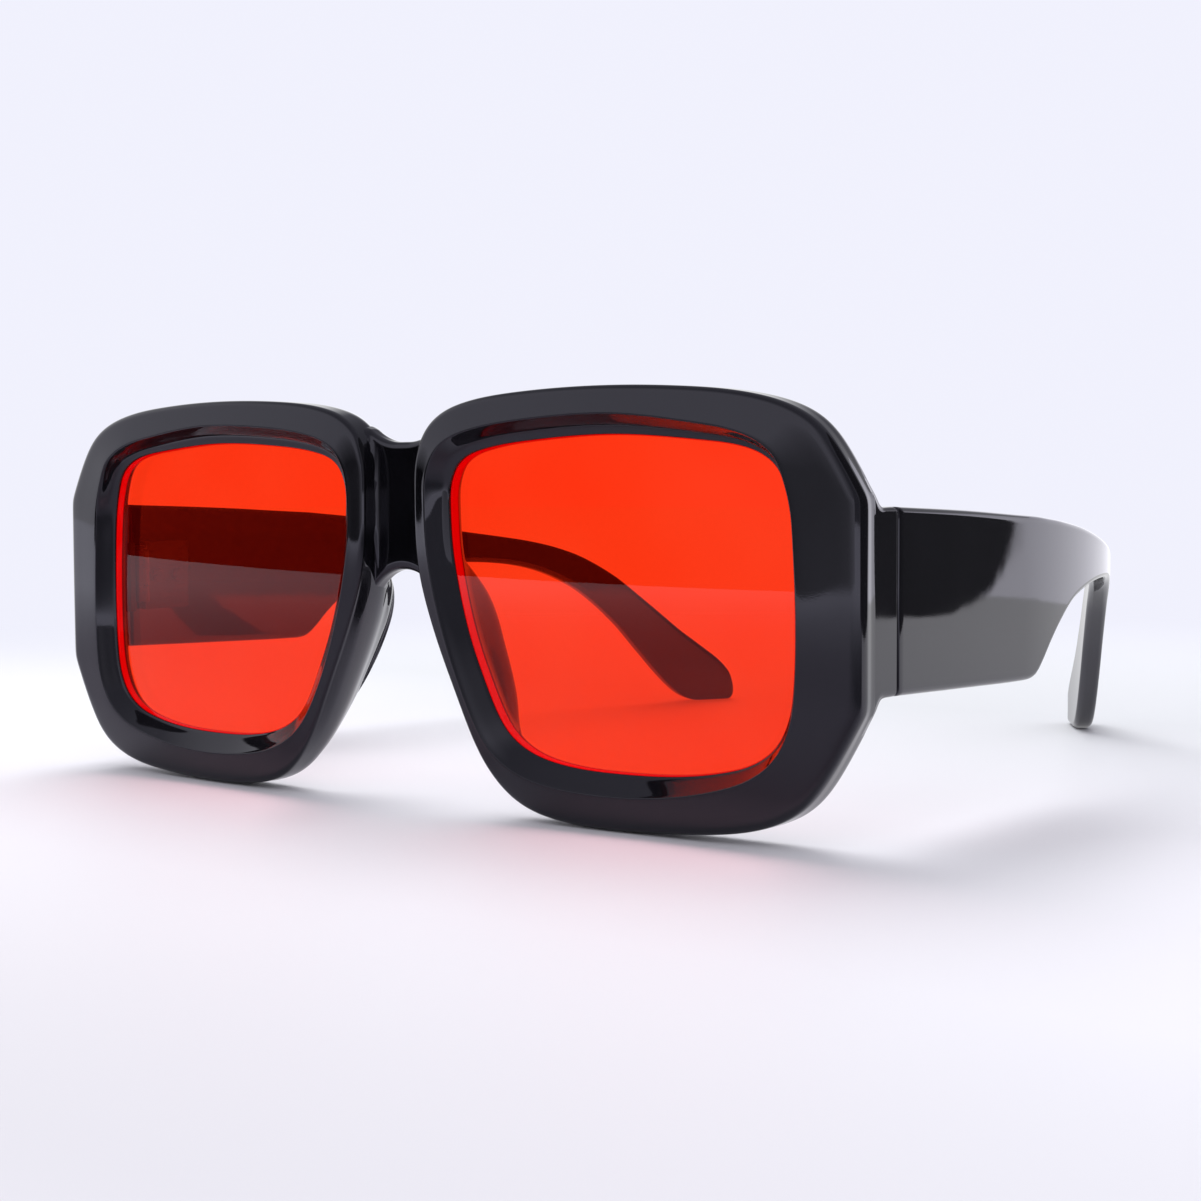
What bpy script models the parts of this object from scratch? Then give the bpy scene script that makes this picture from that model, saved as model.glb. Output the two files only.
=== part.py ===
"""Square sunglasses: one moulded front, two tinted lenses and two folding temples.

The front faces -Y, the temples run back along +Y, and the floor is z = 0.
"left" is the wearer's left, which is +X.
"""
import math

import bmesh
import bpy
from mathutils import Matrix, Vector

# Lens openings and the bands of plastic around them, seen from the front
LENS_WIDTH = 0.0531
LENS_HEIGHT = 0.0435
LENS_SPACING = 0.0194
NOSE_BAND = 0.0051
SIDE_BAND = 0.0097
TOP_BAND = 0.0062
LOW_BAND = 0.0072

# Section of the rim, measured back from its front edge
WRAP_RADIUS = 0.850
RIM_DEPTH = 0.0060
CROWN_RISE = 0.0008
LIP_DROP = 0.0020
SLOPE_WIDTH = 0.0029
EDGE_ROUND = 0.0010
BACK_ROUND = 0.0018

# Lens blank and its seat in the rim
LENS_THICKNESS = 0.0016
LENS_RECESS = 0.0006
LENS_RADIUS = 0.240
GROOVE_DEPTH = 0.0010
CLEARANCE = 0.0003

# Bridge between the rims
BRIDGE_SETBACK = 0.0030
BRIDGE_BACK = 0.0059
BRIDGE_TOP = 0.0503
BRIDGE_ARCH_TOP = 0.0326
BRIDGE_ARCH_RADIUS = 0.0064
BRIDGE_FLARE = 0.0013
BRIDGE_CORNER = 0.0011
BRIDGE_OVERLAP = 0.0024

# Nose pads, moulded on the back of the rims
PAD_TOP = 0.0322
PAD_LOW = 0.0050
PAD_UPPER_X = 0.0083
PAD_LOWER_X = 0.0200
PAD_CENTRE_Y = 0.0068
PAD_HALF_DEPTH = 0.0050
PAD_HALF_THICKNESS = 0.0022

# Temples
TEMPLE_TOP = 0.0414
TEMPLE_LOW = 0.0183
TEMPLE_THICKNESS = 0.0042
ARM_THICKNESS = 0.0033
TEMPLE_LENGTH = 0.1392
TEMPLE_STRAIGHT = 0.0354
TEMPLE_BEND_LENGTH = 0.0658
TEMPLE_BEND_RADIUS = 0.145
TEMPLE_TIP_RADIUS = 0.400
TEMPLE_CORNER = 0.0009
ENDPIECE_LEAN = 0.0004
ENDPIECE_BACK = 0.01275
HINGE_GAP = 0.0004

# Hinges
HINGE_OFFSET = 0.0020
KNUCKLE_RADIUS = 0.0016
KNUCKLE_HEIGHT = 0.0024
MIDDLE_KNUCKLE_HEIGHT = 0.0030
HINGE_CLEARANCE = 0.0002
LEAF_THICKNESS = 0.0010
LEAF_HEIGHT = 0.0110
FRONT_LEAF_WIDTH = 0.0044
TEMPLE_LEAF_LENGTH = 0.0090
PIN_RADIUS = 0.0007
PIN_HEAD_RADIUS = 0.0013
PIN_HEAD_HEIGHT = 0.0006
LEAF_SCREW_RADIUS = 0.0006
LEAF_SCREW_HEAD_RADIUS = 0.0011
LEAF_SCREW_HEAD_HEIGHT = 0.0005
LEAF_SCREW_BITE = 0.0020
FRONT_SCREW_SPACING = 0.0076
TEMPLE_SCREW_SPACING = 0.0042
SLOT_WIDTH = 0.0003
SLOT_DEPTH = 0.0003
OVERRUN = 0.0010

# Knots of the rim: outer x and z as shares of the rim's box, then lens opening x and z
# as shares of the opening's box, from the nose side over the top and round
RIM_KNOT_shares = (
    (0.000, 0.759, 0.000, 0.777),
    (0.004, 0.844, 0.003, 0.857),
    (0.037, 0.923, 0.034, 0.924),
    (0.109, 0.968, 0.100, 0.959),
    (0.242, 0.991, 0.241, 0.984),
    (0.458, 1.000, 0.505, 1.000),
    (0.669, 0.989, 0.759, 0.977),
    (0.794, 0.968, 0.878, 0.954),
    (0.882, 0.930, 0.949, 0.906),
    (0.938, 0.868, 0.977, 0.830),
    (1.000, 0.745, 0.992, 0.720),
    (1.000, 0.527, 1.000, 0.478),
    (1.000, 0.301, 0.994, 0.248),
    (0.934, 0.160, 0.970, 0.147),
    (0.873, 0.076, 0.925, 0.083),
    (0.776, 0.028, 0.846, 0.039),
    (0.639, 0.008, 0.693, 0.007),
    (0.462, 0.000, 0.495, 0.000),
    (0.330, 0.012, 0.354, 0.011),
    (0.242, 0.051, 0.249, 0.044),
    (0.169, 0.139, 0.174, 0.110),
    (0.107, 0.283, 0.112, 0.246),
    (0.046, 0.441, 0.054, 0.416),
    (0.007, 0.589, 0.011, 0.628),
)
# Outer corners that stay crisp: above and below the endpiece
TOP_CORNER_KNOT = 10
LOW_CORNER_KNOT = 12
STEPS_PER_KNOT = 3

# Crown of the rim: share of the way from the rounded edge to the crest, share of its rise
CROWN_shares = ((0.0, 0.15), (0.5, 0.75), (1.0, 1.0))
# Slope from the crest down to the lip: share of the way, share of the drop
SLOPE_shares = ((0.22, 0.12), (0.60, 0.52))
# Quarter round: share of its radius left at the middle of the turn
ROUND_share = 0.293
ENDPIECE_share = 0.474

# Temple's side view: share of its length, then top and bottom as shares of TEMPLE_TOP,
# the bottom row starting at TEMPLE_LOW
TEMPLE_shares = (
    (0.000, 1.000, 0.442),
    (0.140, 0.983, 0.428),
    (0.256, 0.963, 0.418),
    (0.281, 0.959, 0.423),
    (0.296, 0.956, 0.452),
    (0.321, 0.949, 0.522),
    (0.350, 0.941, 0.589),
    (0.386, 0.929, 0.650),
    (0.429, 0.914, 0.686),
    (0.487, 0.889, 0.708),
    (0.559, 0.857, 0.713),
    (0.618, 0.831, 0.703),
    (0.667, 0.806, 0.676),
    (0.711, 0.773, 0.626),
    (0.754, 0.722, 0.548),
    (0.805, 0.628, 0.403),
    (0.848, 0.510, 0.242),
    (0.884, 0.391, 0.109),
    (0.910, 0.304, 0.034),
    (0.931, 0.251, 0.004),
    (0.949, 0.234, 0.000),
    (0.982, 0.222, 0.000),
    (0.996, 0.204, 0.014),
    (1.000, 0.174, 0.048),
)
TAPER_START_share = 0.28
TAPER_END_share = 0.58
CORNER_STEPS = 2

# Bridge stations as shares of its half length
BRIDGE_shares = (-1.0, -0.78, -0.55, -0.3, 0.0, 0.3, 0.55, 0.78, 1.0)

# Nose pad stations from top to bottom: share down, share of the sideways run,
# then centre set-back, half depth and half thickness as shares of the largest
PAD_shares = (
    (0.00, 0.00, 0.84, 0.24, 0.36),
    (0.06, 0.05, 0.93, 0.62, 0.68),
    (0.18, 0.16, 1.02, 0.93, 0.95),
    (0.35, 0.31, 0.97, 1.00, 1.00),
    (0.62, 0.52, 0.88, 0.92, 0.93),
    (0.77, 0.71, 0.82, 0.80, 0.80),
    (0.92, 0.90, 0.74, 0.58, 0.60),
    (1.00, 1.00, 0.64, 0.24, 0.32),
)
PAD_SIDES = 16
ROUND_SIDES = 20

BLACK = (0.012, 0.012, 0.014, 1.0)
RED = (0.95, 0.05, 0.02, 0.55)
STEEL = (0.62, 0.62, 0.63, 1.0)

RIM_WIDTH = NOSE_BAND + LENS_WIDTH + SIDE_BAND
FRONT_HEIGHT = LOW_BAND + LENS_HEIGHT + TOP_BAND
RIM_NOSE_X = LENS_SPACING / 2 - NOSE_BAND
OUTER_X = RIM_NOSE_X + RIM_WIDTH
TEMPLE_OUTER_X = OUTER_X - ENDPIECE_LEAN
TEMPLE_INNER_X = TEMPLE_OUTER_X - TEMPLE_THICKNESS
BEND_ANGLE = TEMPLE_BEND_LENGTH / TEMPLE_BEND_RADIUS
TIP_ANGLE = (TEMPLE_LENGTH - TEMPLE_STRAIGHT - TEMPLE_BEND_LENGTH) / TEMPLE_TIP_RADIUS
TEMPLE_FRONT = ENDPIECE_BACK + HINGE_GAP
TOE_BACK = TEMPLE_FRONT + TEMPLE_STRAIGHT + TEMPLE_BEND_RADIUS * math.sin(BEND_ANGLE)
TOE_BACK += TEMPLE_TIP_RADIUS * (math.sin(BEND_ANGLE + TIP_ANGLE) - math.sin(BEND_ANGLE))
FRONT_Y = (CROWN_RISE - TOE_BACK) / 2
HINGE_X = TEMPLE_INNER_X - HINGE_OFFSET
HINGE_Y = FRONT_Y + ENDPIECE_BACK + HINGE_GAP / 2
HINGE_Z = (TEMPLE_TOP + TEMPLE_LOW) / 2
LEAF_OUTER_X = TEMPLE_INNER_X - CLEARANCE
LEAF_INNER_X = LEAF_OUTER_X - LEAF_THICKNESS


def clear_scene():
    for obj in list(bpy.data.objects):
        bpy.data.objects.remove(obj, do_unlink=True)


def new_collection(name):
    collection = bpy.data.collections.new(name)
    bpy.context.scene.collection.children.link(collection)
    return collection


clear_scene()
PARTS = new_collection("square_sunglasses")
CUTTERS = new_collection("cutters")


def material(name, colour, roughness, metallic):
    mat = bpy.data.materials.new(name)
    mat.use_nodes = True
    shader = mat.node_tree.nodes["Principled BSDF"]
    shader.inputs["Base Color"].default_value = colour
    shader.inputs["Roughness"].default_value = roughness
    shader.inputs["Metallic"].default_value = metallic
    shader.inputs["Alpha"].default_value = colour[3]
    return mat


def new_object(name, bm, mat=None):
    """A part when it has a material, and otherwise a hidden tool for a Boolean."""
    bmesh.ops.recalc_face_normals(bm, faces=bm.faces[:])
    mesh = bpy.data.meshes.new(name)
    bm.to_mesh(mesh)
    bm.free()
    return link_mesh(name, mesh, mat)


def link_mesh(name, mesh, mat=None):
    obj = bpy.data.objects.new(name, mesh)
    if mat is None:
        CUTTERS.objects.link(obj)
        obj.hide_render = True
        obj.display_type = "WIRE"
        return obj
    PARTS.objects.link(obj)
    mesh.materials.clear()
    mesh.materials.append(mat)
    mesh.shade_smooth()
    mesh.set_sharp_from_angle(angle=math.radians(35))
    return obj


def boolean(target, tool, operation):
    modifier = target.modifiers.new(tool.name, "BOOLEAN")
    modifier.operation = operation
    modifier.solver = "EXACT"
    modifier.object = tool


def attach(obj, pivot):
    """Parent a piece to the empty on its joint axis and leave it where it is."""
    obj.data.transform(Matrix.Translation(-pivot.location))
    obj.parent = pivot


def box(bm, low, high):
    size = [b - a for a, b in zip(low, high)]
    middle = [(a + b) / 2 for a, b in zip(low, high)]
    placing = Matrix.Translation(middle) @ Matrix.Diagonal((*size, 1.0))
    bmesh.ops.create_cube(bm, size=1.0, matrix=placing)


def rod(bm, start, end, radius):
    start, end = Vector(start), Vector(end)
    turn = (end - start).to_track_quat("Z", "Y").to_matrix().to_4x4()
    placing = Matrix.Translation((start + end) / 2) @ turn
    bmesh.ops.create_cone(
        bm, cap_ends=True, segments=ROUND_SIDES, radius1=radius, radius2=radius,
        depth=(end - start).length, matrix=placing)


def span(side, near, far):
    """Low and high x of a piece between two distances from the middle."""
    return sorted((side * near, side * far))


def side_box(bm, side, x_range, y_range, z_range):
    low_x, high_x = span(side, *x_range)
    box(bm, (low_x, y_range[0], z_range[0]), (high_x, y_range[1], z_range[1]))


def loft(bm, rings):
    """Skin closed rings of equal count in order, with a flat cap on each end."""
    loops = []
    for ring in rings:
        verts = [bm.verts.new(point) for point in ring]
        edges = [bm.edges.new((a, b)) for a, b in zip(verts, verts[1:] + verts[:1])]
        loops.append((verts, edges))
    for (_, first), (_, second) in zip(loops, loops[1:]):
        bmesh.ops.bridge_loops(bm, edges=first + second)
    bm.faces.new(loops[0][0])
    bm.faces.new(loops[-1][0])


def hermite(a, b, slope_a, slope_b, t):
    return (
        a * (2 * t**3 - 3 * t**2 + 1) + slope_a * (t**3 - 2 * t**2 + t)
        + b * (3 * t**2 - 2 * t**3) + slope_b * (t**3 - t**2))


def smooth_loop(knots, crisp):
    """Closed curve through the knots, with a true corner at each crisp one."""
    count = len(knots)
    headings = []
    for i in range(count):
        heading = knots[(i + 1) % count] - knots[i - 1]
        headings.append(Vector((0, 0)) if i in crisp else heading.normalized())
    points = []
    for i in range(count):
        j = (i + 1) % count
        chord = (knots[j] - knots[i]).length
        for step in range(STEPS_PER_KNOT):
            share = step / STEPS_PER_KNOT
            points.append(hermite(
                knots[i], knots[j], headings[i] * chord, headings[j] * chord, share))
    return points


def outer_outline():
    knots = [
        Vector((RIM_NOSE_X + x * RIM_WIDTH, z * FRONT_HEIGHT))
        for x, z, _, _ in RIM_KNOT_shares]
    return smooth_loop(knots, (TOP_CORNER_KNOT, LOW_CORNER_KNOT))


def opening_outline():
    knots = [
        Vector((LENS_SPACING / 2 + x * LENS_WIDTH, LOW_BAND + z * LENS_HEIGHT))
        for _, _, x, z in RIM_KNOT_shares]
    return smooth_loop(knots, ())


OUTER = outer_outline()
OPENING = opening_outline()


def edge_y(x):
    """Front edge of the rim, wrapped to a large radius in plan."""
    return FRONT_Y + x**2 / (2 * WRAP_RADIUS)


def lens_front_y(x, z):
    across = x - LENS_SPACING / 2 - LENS_WIDTH / 2
    up = z - LOW_BAND - LENS_HEIGHT / 2
    dish = (across**2 + up**2 - (LENS_HEIGHT / 2) ** 2) / (2 * LENS_RADIUS)
    return edge_y(x) + LIP_DROP + LENS_RECESS + dish


def rim_section(band):
    """Share across the band and set-back of each point, once round the section."""
    edge = EDGE_ROUND / band
    crest = 1 - SLOPE_WIDTH / band
    fullness = (band - SLOPE_WIDTH) / (LOW_BAND - SLOPE_WIDTH)
    rise = CROWN_RISE * min(fullness, 1.0)
    rows = [(0.0, RIM_DEPTH - BACK_ROUND), (0.0, EDGE_ROUND)]
    rows.append((edge * ROUND_share, EDGE_ROUND * ROUND_share))
    rows += [(edge + (crest - edge) * way, -rise * up) for way, up in CROWN_shares]
    for way, down in SLOPE_shares:
        rows.append((crest + (1 - crest) * way, (LIP_DROP + rise) * down - rise))
    rows += [(1.0, LIP_DROP), (1.0, RIM_DEPTH), (ENDPIECE_share, RIM_DEPTH)]
    rows.append((BACK_ROUND / band, RIM_DEPTH))
    rows.append((BACK_ROUND / band * ROUND_share, RIM_DEPTH - BACK_ROUND * ROUND_share))
    return rows


def rim_ring(bm, side):
    """One rim: a closed ring, then its back drawn out to the hinge as the endpiece."""
    columns = []
    for outer, inner in zip(OUTER, OPENING):
        column = []
        for across, setback in rim_section((inner - outer).length):
            x, z = outer.lerp(inner, across)
            column.append(bm.verts.new((side * x, edge_y(x) + setback, z)))
        columns.append(column)
    loops = list(zip(*columns))
    count = len(OUTER)
    first_column = TOP_CORNER_KNOT * STEPS_PER_KNOT
    last_column = LOW_CORNER_KNOT * STEPS_PER_KNOT
    endpiece_faces = []
    for row, loop in enumerate(loops):
        following = loops[(row + 1) % len(loops)]
        for i in range(count):
            j = (i + 1) % count
            face = bm.faces.new((loop[i], loop[j], following[j], following[i]))
            if row >= len(loops) - 3 and first_column <= i < last_column:
                endpiece_faces.append(face)
    draw_out_endpiece(bm, side, endpiece_faces)


def draw_out_endpiece(bm, side, faces):
    inner_x = TEMPLE_INNER_X
    base_low = FRONT_HEIGHT * RIM_KNOT_shares[LOW_CORNER_KNOT][1]
    base_high = FRONT_HEIGHT * RIM_KNOT_shares[TOP_CORNER_KNOT][1]
    edges = list({edge for face in faces for edge in face.edges})
    drawn = bmesh.ops.extrude_face_region(bm, geom=faces + edges)["geom"]
    verts = [item for item in drawn if isinstance(item, bmesh.types.BMVert)]
    base_inner = min(abs(vert.co.x) for vert in verts)
    for vert in verts:
        out = (abs(vert.co.x) - base_inner) / (OUTER_X - base_inner)
        up = (vert.co.z - base_low) / (base_high - base_low)
        x = inner_x + out * (TEMPLE_OUTER_X - inner_x)
        z = TEMPLE_LOW + up * (TEMPLE_TOP - TEMPLE_LOW)
        vert.co = (side * x, FRONT_Y + ENDPIECE_BACK, z)


def rounded_rectangle(half_width, half_height, corner):
    """Corner points of a rounded rectangle about its centre, anticlockwise."""
    corner = min(corner, half_width, half_height)
    points = []
    for quarter in range(4):
        sign_x = 1 if quarter in (0, 3) else -1
        sign_z = 1 if quarter < 2 else -1
        for step in range(CORNER_STEPS + 1):
            angle = math.pi / 2 * (quarter + step / CORNER_STEPS)
            x = sign_x * (half_width - corner) + corner * math.cos(angle)
            z = sign_z * (half_height - corner) + corner * math.sin(angle)
            points.append((x, z))
    return points


def bridge_body(bm):
    half_length = RIM_NOSE_X + BRIDGE_OVERLAP
    half_depth = (BRIDGE_BACK - BRIDGE_SETBACK) / 2
    middle_y = FRONT_Y + (BRIDGE_BACK + BRIDGE_SETBACK) / 2
    rings = []
    for share in BRIDGE_shares:
        x = share * half_length
        top = BRIDGE_TOP + BRIDGE_FLARE * share**2
        reach = min(abs(x), BRIDGE_ARCH_RADIUS * 0.98)
        sag = BRIDGE_ARCH_RADIUS - math.sqrt(BRIDGE_ARCH_RADIUS**2 - reach**2)
        low = BRIDGE_ARCH_TOP - sag
        outline = rounded_rectangle(half_depth, (top - low) / 2, BRIDGE_CORNER)
        rings.append([(x, middle_y + y, (top + low) / 2 + z) for y, z in outline])
    loft(bm, rings)


def nose_pad(bm, side):
    rings = []
    for down, run, setback, depth, thickness in PAD_shares:
        z = PAD_TOP - down * (PAD_TOP - PAD_LOW)
        x = PAD_UPPER_X + run * (PAD_LOWER_X - PAD_UPPER_X)
        y = FRONT_Y + PAD_CENTRE_Y * setback
        ring = []
        for i in range(PAD_SIDES):
            angle = 2 * math.pi * i / PAD_SIDES
            out = PAD_HALF_THICKNESS * thickness * math.cos(angle)
            back = PAD_HALF_DEPTH * depth * math.sin(angle)
            ring.append((side * (x + out), y + back, z))
        rings.append(ring)
    loft(bm, rings)


def lens_body(bm, side, grow):
    """Curved lens held in the groove, grown on all sides when it cuts its own seat."""
    lip = GROOVE_DEPTH - CLEARANCE + grow
    edge = []
    for outer, inner in zip(OUTER, OPENING):
        edge.append(inner + (outer - inner).normalized() * lip)
    centre = Vector((LENS_SPACING / 2 + LENS_WIDTH / 2, LOW_BAND + LENS_HEIGHT / 2))
    front, back = -grow, LENS_THICKNESS + grow
    stages = [(0.1, front), (0.55, front), (1.0, front), (1.0, back), (0.55, back), (0.1, back)]
    rings = []
    for scale, setback in stages:
        ring = []
        for point in edge:
            x, z = centre.lerp(point, scale)
            ring.append((side * x, lens_front_y(x, z) + setback, z))
        rings.append(ring)
    loft(bm, rings)


def front_screw_places(side):
    """Back-facing screws of the front leaf: seat points on the leaf."""
    x = side * (LEAF_OUTER_X - FRONT_LEAF_WIDTH / 2)
    y = front_leaf_seat() + LEAF_THICKNESS
    half = FRONT_SCREW_SPACING / 2
    return [Vector((x, y, HINGE_Z + half)), Vector((x, y, HINGE_Z - half))]


def temple_screw_places(side):
    """Inward-facing screws of the temple leaf: seat points on the leaf."""
    x = side * LEAF_INNER_X
    middle = temple_leaf_start() + TEMPLE_LEAF_LENGTH / 2
    half = TEMPLE_SCREW_SPACING / 2
    return [Vector((x, middle - half, HINGE_Z)), Vector((x, middle + half, HINGE_Z))]


def front_leaf_seat():
    return edge_y(LEAF_OUTER_X) + RIM_DEPTH + CLEARANCE


def temple_leaf_start():
    return HINGE_Y + KNUCKLE_RADIUS + HINGE_CLEARANCE


def screw_reach():
    return LEAF_THICKNESS + CLEARANCE + LEAF_SCREW_BITE


def pilot_holes(name, places, inward):
    """Clearance holes in the plastic, bored along the screws from their seats."""
    bm = bmesh.new()
    for place in places:
        end = place + inward * (screw_reach() + CLEARANCE)
        rod(bm, place, end, LEAF_SCREW_RADIUS + CLEARANCE)
    return new_object(name, bm)


def build_front(mat):
    bm = bmesh.new()
    for side in (1, -1):
        rim_ring(bm, side)
    front = new_object("front_frame", bm, mat)
    bm = bmesh.new()
    bridge_body(bm)
    boolean(front, new_object("bridge_form", bm), "UNION")
    for side, label in ((1, "left"), (-1, "right")):
        bm = bmesh.new()
        nose_pad(bm, side)
        boolean(front, new_object("nose_pad_form_" + label, bm), "UNION")
        bm = bmesh.new()
        lens_body(bm, side, CLEARANCE)
        boolean(front, new_object("lens_seat_cutter_" + label, bm), "DIFFERENCE")
        holes = pilot_holes(
            "front_pilot_cutter_" + label, front_screw_places(side), Vector((0, -1, 0)))
        boolean(front, holes, "DIFFERENCE")


def build_lens(side, label, mat):
    bm = bmesh.new()
    lens_body(bm, side, 0.0)
    new_object("lens_" + label, bm, mat)


def temple_path(distance):
    """Outer face of the temple in plan, and the direction of its thickness inwards."""
    bend = min(max(distance - TEMPLE_STRAIGHT, 0.0) / TEMPLE_BEND_RADIUS, BEND_ANGLE)
    tip = max(distance - TEMPLE_STRAIGHT - TEMPLE_BEND_LENGTH, 0.0) / TEMPLE_TIP_RADIUS
    turn = bend + tip
    x = TEMPLE_OUTER_X - TEMPLE_BEND_RADIUS * (1 - math.cos(bend))
    x -= TEMPLE_TIP_RADIUS * (math.cos(bend) - math.cos(turn))
    y = FRONT_Y + TEMPLE_FRONT + min(distance, TEMPLE_STRAIGHT)
    y += TEMPLE_BEND_RADIUS * math.sin(bend)
    y += TEMPLE_TIP_RADIUS * (math.sin(turn) - math.sin(bend))
    return Vector((x, y)), Vector((-math.cos(turn), -math.sin(turn)))


def temple_thickness(share):
    taper = (share - TAPER_START_share) / (TAPER_END_share - TAPER_START_share)
    taper = min(max(taper, 0.0), 1.0)
    return TEMPLE_THICKNESS + taper * (ARM_THICKNESS - TEMPLE_THICKNESS)


def temple_body(bm, side):
    rings = []
    drop = TEMPLE_LOW / TEMPLE_TOP - TEMPLE_shares[0][2]
    for share, top, low in TEMPLE_shares:
        point, inward = temple_path(share * TEMPLE_LENGTH)
        thickness = temple_thickness(share)
        fade = max(1.0 - share / TAPER_START_share, 0.0)
        top_z = TEMPLE_TOP * top
        low_z = TEMPLE_TOP * (low + drop * fade)
        half_height = (top_z - low_z) / 2
        outline = rounded_rectangle(thickness / 2, half_height, TEMPLE_CORNER)
        ring = []
        for across, up in outline:
            x, y = point + inward * (thickness / 2 - across)
            ring.append((side * x, y, (top_z + low_z) / 2 + up))
        rings.append(ring)
    loft(bm, rings)


def build_temple(side, label, mat, pivot):
    bm = bmesh.new()
    temple_body(bm, side)
    temple = new_object("temple_" + label, bm, mat)
    holes = pilot_holes(
        "temple_pilot_cutter_" + label, temple_screw_places(side), Vector((side, 0, 0)))
    boolean(temple, holes, "DIFFERENCE")
    attach(temple, pivot)


def knuckle(bm, side, low, high):
    rod(bm, (side * HINGE_X, HINGE_Y, low), (side * HINGE_X, HINGE_Y, high), KNUCKLE_RADIUS)


def drill_leaf(leaf, label, places, inward):
    """Bore the knuckles for the pivot screw and the leaf for its fixing screws."""
    bm = bmesh.new()
    reach = LEAF_HEIGHT + OVERRUN
    x = math.copysign(HINGE_X, places[0].x)
    rod(bm, (x, HINGE_Y, HINGE_Z - reach), (x, HINGE_Y, HINGE_Z + reach),
        PIN_RADIUS + HINGE_CLEARANCE)
    for place in places:
        rod(bm, place - inward * OVERRUN, place + inward * (LEAF_THICKNESS + OVERRUN),
            LEAF_SCREW_RADIUS + HINGE_CLEARANCE)
    boolean(leaf, new_object(label + "_drill", bm), "DIFFERENCE")


def build_front_leaf(side, label, mat):
    """Base plate on the back of the rim, a standing web and two knuckles."""
    seat = front_leaf_seat()
    half = LEAF_HEIGHT / 2
    gap = MIDDLE_KNUCKLE_HEIGHT / 2 + HINGE_CLEARANCE
    bm = bmesh.new()
    side_box(bm, side, (LEAF_OUTER_X - FRONT_LEAF_WIDTH, LEAF_OUTER_X),
             (seat, seat + LEAF_THICKNESS), (HINGE_Z - half, HINGE_Z + half))
    leaf = new_object("hinge_front_leaf_" + label, bm, mat)
    for name, up in (("upper", 1), ("lower", -1)):
        near, far = sorted((HINGE_Z + up * gap, HINGE_Z + up * (gap + KNUCKLE_HEIGHT)))
        bm = bmesh.new()
        side_box(bm, side, (LEAF_INNER_X, LEAF_OUTER_X), (seat, HINGE_Y), (near, far))
        boolean(leaf, new_object(f"{name}_web_form_{label}", bm), "UNION")
        bm = bmesh.new()
        knuckle(bm, side, near, far)
        boolean(leaf, new_object(f"{name}_knuckle_form_{label}", bm), "UNION")
    drill_leaf(leaf, "front_leaf_" + label, front_screw_places(side), Vector((0, -1, 0)))


def build_temple_leaf(side, label, mat, pivot):
    """Flat leaf on the temple's inner face with a web to the middle knuckle."""
    start = temple_leaf_start()
    half = LEAF_HEIGHT / 2
    middle = MIDDLE_KNUCKLE_HEIGHT / 2
    bm = bmesh.new()
    side_box(bm, side, (LEAF_INNER_X, LEAF_OUTER_X),
             (start, start + TEMPLE_LEAF_LENGTH), (HINGE_Z - half, HINGE_Z + half))
    leaf = new_object("hinge_temple_leaf_" + label, bm, mat)
    bm = bmesh.new()
    side_box(bm, side, (LEAF_INNER_X, LEAF_OUTER_X), (HINGE_Y, start + OVERRUN),
             (HINGE_Z - middle, HINGE_Z + middle))
    boolean(leaf, new_object("middle_web_form_" + label, bm), "UNION")
    bm = bmesh.new()
    knuckle(bm, side, HINGE_Z - middle, HINGE_Z + middle)
    boolean(leaf, new_object("middle_knuckle_form_" + label, bm), "UNION")
    drill_leaf(leaf, "temple_leaf_" + label, temple_screw_places(side), Vector((side, 0, 0)))
    attach(leaf, pivot)


def screw_mesh(name, radius, length, head_radius, head_height):
    """Slotted screw along -Z with its head's seat at the origin."""
    profile = [
        (0.0, head_height), (head_radius * 0.8, head_height), (head_radius, head_height / 2),
        (head_radius, 0.0), (radius, 0.0), (radius, -length + radius / 2),
        (radius / 2, -length), (0.0, -length)]
    bm = bmesh.new()
    verts = [bm.verts.new((x, 0.0, z)) for x, z in profile]
    edges = [bm.edges.new(pair) for pair in zip(verts, verts[1:])]
    bmesh.ops.spin(
        bm, geom=verts + edges, cent=(0, 0, 0), axis=(0, 0, 1),
        angle=math.tau, steps=ROUND_SIDES, use_merge=True)
    bmesh.ops.remove_doubles(bm, verts=bm.verts[:], dist=radius / 100)
    blank = new_object(name + "_blank", bm)
    bm = bmesh.new()
    reach = head_radius + OVERRUN
    box(bm, (-reach, -SLOT_WIDTH / 2, head_height - SLOT_DEPTH),
        (reach, SLOT_WIDTH / 2, head_height + OVERRUN))
    slot = new_object(name + "_slot", bm)
    boolean(blank, slot, "DIFFERENCE")
    depsgraph = bpy.context.evaluated_depsgraph_get()
    mesh = bpy.data.meshes.new_from_object(blank.evaluated_get(depsgraph))
    mesh.name = name
    for tool in (blank, slot):
        bpy.data.objects.remove(tool, do_unlink=True)
    return mesh


def build_pivot_screw(side, label, mat):
    stack = MIDDLE_KNUCKLE_HEIGHT + 2 * (KNUCKLE_HEIGHT + HINGE_CLEARANCE)
    mesh = screw_mesh("pivot_screw_" + label, PIN_RADIUS, stack + HINGE_CLEARANCE,
                      PIN_HEAD_RADIUS, PIN_HEAD_HEIGHT)
    screw = link_mesh("hinge_screw_" + label, mesh, mat)
    screw.location = (side * HINGE_X, HINGE_Y, HINGE_Z + stack / 2 + HINGE_CLEARANCE)


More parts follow.
